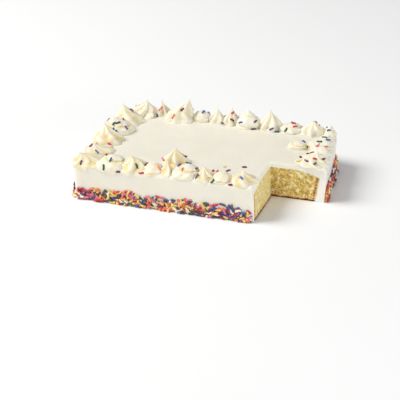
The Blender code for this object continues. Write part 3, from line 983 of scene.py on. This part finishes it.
def dollop_points(form, rng):
    """Rings of points of one piped dollop up to its tip, and the painted shade each takes in grooves,
    coil seams and near the foot.
    """
    sharpness, depth, ridged, coil, turns = PIPING[form["kind"]]
    heights = ring_heights()[:, None]
    angle = np.linspace(0, 2 * math.pi, DOLLOP_SIDES, endpoint=False)[None, :]
    phases = [rng.uniform(0, 2 * math.pi) for _ in range(5)]
    curl = TIP_CURL * rng.uniform(LEAST_CURL, 1.0) * np.array([math.cos(phases[4]), math.sin(phases[4])])
    swept = angle - form["turn"] - 2 * math.pi * form["twist"] * heights
    wave = np.sin(swept + phases[0]) + np.sin(2 * swept + phases[1])
    warped = swept + LOBE_WARP / form["lobes"] * wave
    half = form["lobes"] * warped / 2
    valley = ridged * soft_crest(np.sin(half)) + (1 - ridged) * (1 - soft_crest(np.cos(half)))
    uneven_depth = depth * (1 + DEPTH_WARP * np.sin(swept + phases[2]))
    along = np.clip(GROOVE_FOOT[0] + heights / GROOVE_FOOT[1], 0, 1)
    along = along * np.clip((1 - heights) / GROOVE_TIP[1], GROOVE_TIP[0], 1)
    radius = form["radius"] * body_share(heights, sharpness) * (1 - uneven_depth * along * valley)
    winding = (angle / (2 * math.pi) + turns * heights + phases[3]) % 1.0
    seam = np.exp(-((winding - 0.5) / SEAM_WIDTH) ** 2) + SEAM_STEP * np.clip(0.5 - winding, 0, 1)
    fade = np.clip(heights / COIL_FADE, 0, 1) * np.clip((1 - heights) / COIL_FADE, 0, 1)
    radius = radius * (1 - coil * seam * fade)
    spread = BASE_SPREAD * (1 - heights) ** BASE_SPREAD_POWER
    spread = spread + (outer_spread(form, angle) - BASE_SPREAD) * (1 - heights) ** OUTER_SPREAD_POWER
    radius = FULLNESS * radius * (1 + spread)
    bent = np.clip((heights - TIP_CURL_START) / (1 - TIP_CURL_START), 0, 1) ** 2
    leaning = heights ** TIP_LEAN_POWER
    x = form["centre"][0] + form["lean"][0] * leaning + curl[0] * bent + radius * np.cos(angle)
    y = form["centre"][1] + form["lean"][1] * leaning + curl[1] * bent + radius * np.sin(angle)
    rise = -TIP_DROOP if form["kind"] in ("round", "low") else SPIRE
    z = HEIGHT + form["height"] * heights + rise * bent + 0 * angle
    # Painted shade: yellower cream in the grooves and coil seams
    groove = valley * along * min(depth / GROOVE_FULL, 1.0) + seam * fade * coil / COIL_FULL
    # Painted shade near the foot, fading upwards
    groove = groove + PAINTED_FOOT_SHADE * (1 - heights) ** PAINTED_FOOT_SHADE_POWER
    return np.stack([x, y, z], axis=2), np.clip(groove, 0, 1)


def roughen(form, points):
    """Lumps on a dollop, and its base drawn down to the icing it sits on."""
    middle = Vector((*form["centre"], HEIGHT))
    for ring, share in enumerate(ring_heights()):
        axis = np.array([*(form["centre"] + form["lean"] * share ** TIP_LEAN_POWER), points[ring, 0, 2]])
        for side in range(DOLLOP_SIDES):
            point = Vector(points[ring, side])
            lump = LUMP * noise.noise((point + middle) / LUMP_SIZE)
            lump += SMALL_LUMP * noise.noise(point / SMALL_LUMP_SIZE)
            moved = axis + (points[ring, side] - axis) * (1 + lump)
            moved[2] -= DOLLOP_SINK * max(1 - ring / SINK_RINGS, 0)
            points[ring, side] = drape(moved, share)
    return points


def painted_groove_shade(node):
    """How strongly painted shade is laid into a dollop's grooves, by its row."""
    if node in FRONT_DROOP or node in STRAYS:
        return PAINTED_GROOVE_SHADE
    return LEFT_PAINTED_GROOVE_SHADE if node in LEFT_ROW else BACK_PAINTED_GROOVE_SHADE


def make_dollop(node, material, rng):
    """One piped dollop in place of its solid."""
    form = measure_dollop(node)
    points, groove = dollop_points(form, rng)
    points = roughen(form, points).reshape(-1, 3)
    faces = grid_faces(DOLLOP_RINGS - 1, DOLLOP_SIDES, True)
    last = (DOLLOP_RINGS - 2) * DOLLOP_SIDES
    tip = last + DOLLOP_SIDES
    for side in range(DOLLOP_SIDES):
        faces.append((last + side, last + (side + 1) % DOLLOP_SIDES, tip))
    faces.append(tuple(reversed(range(DOLLOP_SIDES))))
    data = bpy.data.meshes.new("piped_" + node)
    data.from_pydata(points[:tip + 1].tolist(), [], faces)
    data.update()
    # Painted shade in the grooves, seams and foot, scaled by the dollop's row
    groove = groove.reshape(-1)[:tip + 1] * painted_groove_shade(node)
    data.attributes.new("groove", "FLOAT", "POINT").data.foreach_set("value", groove)
    piece = add_piece("piped_" + node, data, material)
    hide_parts(node)
    return piece


def surface_tree(pieces):
    """Search tree over the pieces' faces, for laying sprinkles on them."""
    points = []
    faces = []
    for piece in pieces:
        start = len(points)
        points += [vert.co.copy() for vert in piece.data.vertices]
        faces += [[start + i for i in face.vertices] for face in piece.data.polygons]
    return BVHTree.FromPolygons(points, faces)


def rod_template():
    """Rings of a round-ended rod along X as (share of half length, cap's reach, width).

    The last two are shares of the rod's radius.
    """
    stations = []
    for step in range(CAP_STATIONS):
        angle = math.radians(90 * (step + CAP_SHIFT) / CAP_STATIONS)
        stations.append((-1.0, -math.cos(angle), math.sin(angle)))
    for step in range(SPRINKLE_STATIONS):
        stations.append((2 * step / (SPRINKLE_STATIONS - 1) - 1, 0.0, 1.0))
    for station in reversed(stations[:CAP_STATIONS]):
        stations.append((1.0, -station[1], station[2]))
    return stations


def rod_points(stations, rod):
    """Points of one sprinkle in its place."""
    half = rod["length"] / 2 - rod["radius"]
    points = []
    for along, cap, width in stations:
        x = along * half + cap * rod["radius"]
        sag = rod["bend"] * (1 - (x / half) ** 2)
        for side in range(SPRINKLE_SIDES):
            angle = 2 * math.pi * side / SPRINKLE_SIDES
            y = rod["radius"] * width * math.cos(angle) + sag
            z = rod["radius"] * width * math.sin(angle)
            points.append((x, y, z))
    return np.array(points) @ rod["turn"].T + rod["place"]


def make_sprinkles(colour, rods, material):
    """All the sprinkles of one colour as one mesh."""
    stations = rod_template()
    rows = len(stations)
    faces = grid_faces(rows, SPRINKLE_SIDES, True)
    faces.append(tuple(reversed(range(SPRINKLE_SIDES))))
    faces.append(tuple(range((rows - 1) * SPRINKLE_SIDES, rows * SPRINKLE_SIDES)))
    points = []
    all_faces = []
    for rod in rods:
        start = len(points)
        points += rod_points(stations, rod).tolist()
        all_faces += [tuple(start + i for i in face) for face in faces]
    data = bpy.data.meshes.new("sprinkles_" + colour)
    data.from_pydata(points, [], all_faces)
    data.update()
    return add_piece("sprinkles_" + colour, data, material)


def new_rod(point, normal, along, lift, rng, scale=1.0):
    """One sprinkle on a surface: its centre raised by lift, its length along a direction."""
    normal = Vector(normal).normalized()
    along = (Vector(along) - normal * normal.dot(along)).normalized()
    across = normal.cross(along)
    radius = scale * (SPRINKLE_RADIUS + SPRINKLE_RADIUS_SPREAD * rng.uniform(-1, 1))
    return {
        "place": np.array(Vector(point) + normal * lift),
        "turn": np.array(Matrix((along, across, normal)).transposed()),
        "length": scale * (SPRINKLE_LENGTH + SPRINKLE_LENGTH_SPREAD * rng.uniform(-1, 1)),
        "radius": radius,
        "bend": SPRINKLE_BEND * rng.uniform(-1, 1),
    }


def wall_runs():
    """Outline at the wall's middle with the distance travelled to each of its points."""
    outline = plan_outline(ICING_FOOT_INSET / 2)
    travelled = [0.0]
    for start, end in zip(outline, outline[1:] + outline[:1]):
        travelled.append(travelled[-1] + (end - start).length)
    return outline, travelled


def wall_place(outline, travelled, distance, height):
    """Point, outward normal and tangent of the icing's wall."""
    index = int(np.searchsorted(travelled, distance, side="right")) - 1
    index = min(index, len(outline) - 1)
    start = outline[index]
    tangent = (outline[(index + 1) % len(outline)] - start).normalized()
    point = start + tangent * (distance - travelled[index])
    lean = ICING_FOOT_INSET / HEIGHT
    outward = Vector((tangent.y, -tangent.x, 0))
    point = Vector((point.x, point.y, height)) + outward * lean * (height - HEIGHT / 2)
    normal = (outward - Vector((0, 0, lean))).normalized()
    return point, normal, Vector((tangent.x, tangent.y, 0.0))


def band_height(distance, rng):
    """Height of a sprinkle in the band: even low down, thinning to a ragged top."""
    if rng.random() < FOOT_SHARE:
        return rng.uniform(SPRINKLE_RADIUS + 2 * FLOOR_GAP, FOOT_BAND)
    ragged = noise.noise(Vector((distance / BAND_TOP_SIZE, 0.5, 0.5)))
    top = BAND_TOP + BAND_TOP_SPREAD * ragged
    while True:
        height = rng.uniform(SPRINKLE_RADIUS + 2 * FLOOR_GAP, top)
        if rng.random() < (top - height) / BAND_FADE + BAND_LEAST:
            return height


def flat_rod(point, normal, tangent, rng):
    """Sprinkle of the band that lies flat at its foot, one end against the icing."""
    turn = rng.uniform(-FLAT_TURN, FLAT_TURN)
    outward = Vector((normal.x, normal.y, 0)).normalized()
    along = tangent * math.cos(turn) + outward * math.sin(turn)
    width = BAND_SCALE * (SPRINKLE_RADIUS + SPRINKLE_RADIUS_SPREAD)
    reach = BAND_SCALE * SPRINKLE_LENGTH / 2 * abs(math.sin(turn))
    place = point + outward * max(FLAT_PROUD * reach, width)
    place.z = width + rng.uniform(0, FLAT_RISE)
    return new_rod(place, (0, 0, 1), along, 0.0, rng, BAND_SCALE)


def lay_band(rods, rng):
    """Dense band of sprinkles round the foot of the sides, but for the slice's cut faces."""
    outline, travelled = wall_runs()
    taken = {}
    shares = [share for _, share in COLOURS.values()]
    longest = BAND_SCALE * (SPRINKLE_LENGTH + SPRINKLE_LENGTH_SPREAD) / 2
    laid = 0
    while laid < BAND_COUNT:
        distance = rng.uniform(0, travelled[-1])
        height = band_height(distance, rng)
        cell = (int(distance / BAND_SPACING), int(height / BAND_SPACING))
        tilt = rng.uniform(-math.pi / 2, math.pi / 2)
        room = (height - SPRINKLE_RADIUS - FLOOR_GAP) / longest
        if abs(math.sin(tilt)) > room:
            tilt = math.copysign(math.asin(max(room, 0.0)), tilt)
        laid += 1
        pile = taken.get(cell, 0)
        if pile >= MOST_PILED:
            continue
        point, normal, tangent = wall_place(outline, travelled, distance, height)
        if from_slice(point) < CUT_CLEARANCE:
            continue
        if from_slice(point) < LOOSE_RUN and rng.random() < LOOSE_SHARE:
            continue
        taken[cell] = pile + 1
        up = normal.cross(tangent)
        along = tangent * math.cos(tilt) + up * math.sin(tilt)
        heap = BAND_PILE * (RIGHT_PILE if normal.x > FACING_RIGHT else 1.0)
        lift = SPRINKLE_LIFT + heap * (pile + rng.uniform(0, PILE_JITTER)) / PILE_PACKING
        lift += FOOT_HEAP * max(1 - height / FOOT_HEAP_HEIGHT, 0.0) * rng.random()
        name = rng.choices(list(COLOURS), shares)[0]
        if height < FOOT_BAND and rng.random() < FLAT_SHARE:
            rods[name].append(flat_rod(point, normal, tangent, rng))
        else:
            rods[name].append(new_rod(point, normal, along, lift, rng, BAND_SCALE))


def lay_seen(rods, tree, rng):
    """Sprinkles on the top and the dollops where the view shows them."""
    right, up, back = view_axes()
    focal = LENS / SENSOR * PICTURE
    for name, marks in SEEN.items():
        for across, down, slope in marks:
            sight = right * (across - PICTURE / 2) - up * (down - PICTURE / 2) - back * focal
            sight.normalize()
            point, normal, _, _ = tree.ray_cast(EYE, sight)
            if point is None:
                continue
            if normal.dot(sight) > 0:
                normal = -normal
            angle = math.radians(slope)
            drawn = right * math.cos(angle) + up * math.sin(angle)
            facing = min(normal.dot(sight), -GRAZING)
            along = drawn - sight * (drawn.dot(normal) / facing)
            rods[name].append(new_rod(point, normal, along, SPRINKLE_LIFT, rng))


def out_of_view(tree, point):
    """Whether something stands between the eye and a point, well before the point."""
    sight = point - EYE
    _, _, _, reached = tree.ray_cast(EYE, sight.normalized())
    return reached is not None and reached < sight.length - HIDDEN_BEHIND


def lay_hidden(rods, tree, forms, rng):
    """Sprinkles on the sides of the dollops that the view doesn't show."""
    names = list(COLOURS)
    behind = math.pi / 2 + AZIMUTH
    for form in forms:
        for _ in range(HIDDEN_PER_DOLLOP):
            angle = behind + rng.uniform(-HIDDEN_TURN, HIDDEN_TURN)
            outward = Vector((math.cos(angle), math.sin(angle), rng.uniform(0.0, HIDDEN_RISE)))
            aim = Vector((*form["centre"], HEIGHT + form["height"] * rng.uniform(*HIDDEN_HEIGHTS)))
            point, normal, _, _ = tree.ray_cast(aim + outward * HIDDEN_START, -outward)
            if point is None or not out_of_view(tree, point):
                continue
            along = Vector((rng.uniform(-1, 1), rng.uniform(-1, 1), rng.uniform(-1, 1)))
            rods[rng.choice(names)].append(new_rod(point, normal, along, SPRINKLE_LIFT, rng))


def area_light(name, place, size, power, colour):
    """Square soft light aimed at the cake."""
    data = bpy.data.lights.new(name, "AREA")
    data.size = size
    data.energy = power
    data.color = colour
    lamp = add_object(name, data)
    lamp.location = place
    lamp.rotation_euler = (Vector(LIT_PLACE) - Vector(place)).to_track_quat("-Z", "Y").to_euler()


def make_stage():
    """Plain pale floor, soft light from the left, gentle fill, even surroundings."""
    mesh = bmesh.new()
    bmesh.ops.create_circle(mesh, cap_ends=True, segments=64, radius=FLOOR_RADIUS)
    material, tree, shader = new_material("floor_matte", 0.9, 0.1)
    tone = add_noise(tree, 3.0)
    tone = add_ramp(tree, tone, ((0.3, (0.955, 0.965, 0.98)), (0.7, (0.965, 0.975, 0.99))))
    tree.links.new(tone, shader.inputs["Base Color"])
    floor = plain_object(mesh, "floor")
    floor.data.materials.append(material)
    floor.location.z = -FLOOR_DROP
    for name, light in LIGHTS.items():
        area_light(name, *light)
    world = bpy.data.worlds.new("studio")
    world.use_nodes = True
    background = world.node_tree.nodes["Background"]
    set_inputs(background, {"Color": (1, 1, 1, 1), "Strength": SURROUNDINGS})
    bpy.context.scene.world = world
    bpy.context.scene.view_settings.view_transform = "Standard"


def make_camera():
    """Camera at the photograph's angle of sight."""
    right, up, back = view_axes()
    data = bpy.data.cameras.new("camera")
    data.sensor_width = SENSOR
    data.lens = LENS
    data.clip_start = 0.05
    data.clip_end = 50
    camera = add_object("camera", data)
    turn = Matrix((right, up, back)).transposed().to_4x4()
    camera.matrix_world = Matrix.Translation(EYE) @ turn
    bpy.context.scene.camera = camera


def main():
    """Stage, icing, sponge, dollops and sprinkles, in this order."""
    make_camera()
    make_stage()
    icing = make_icing(cream_material("icing_cream", "cut", *FLAT_CREAM))
    make_sponge(sponge_material())
    piped = cream_material("piped_cream", "groove", *PIPED_CREAM)
    rng = random.Random(SEED)
    nodes = sorted(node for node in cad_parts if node.startswith("dollop"))
    dollops = [make_dollop(node, piped, rng) for node in nodes]
    tree = surface_tree([icing] + dollops)
    rods = {name: [] for name in COLOURS}
    lay_band(rods, rng)
    lay_seen(rods, tree, rng)
    outer = [node for node in nodes if node not in FRONT_DROOP and node not in STRAYS]
    lay_hidden(rods, tree, [measure_dollop(node) for node in outer], rng)
    for name, (colour, _) in COLOURS.items():
        make_sprinkles(name, rods[name], sprinkle_material(name, colour))


main()
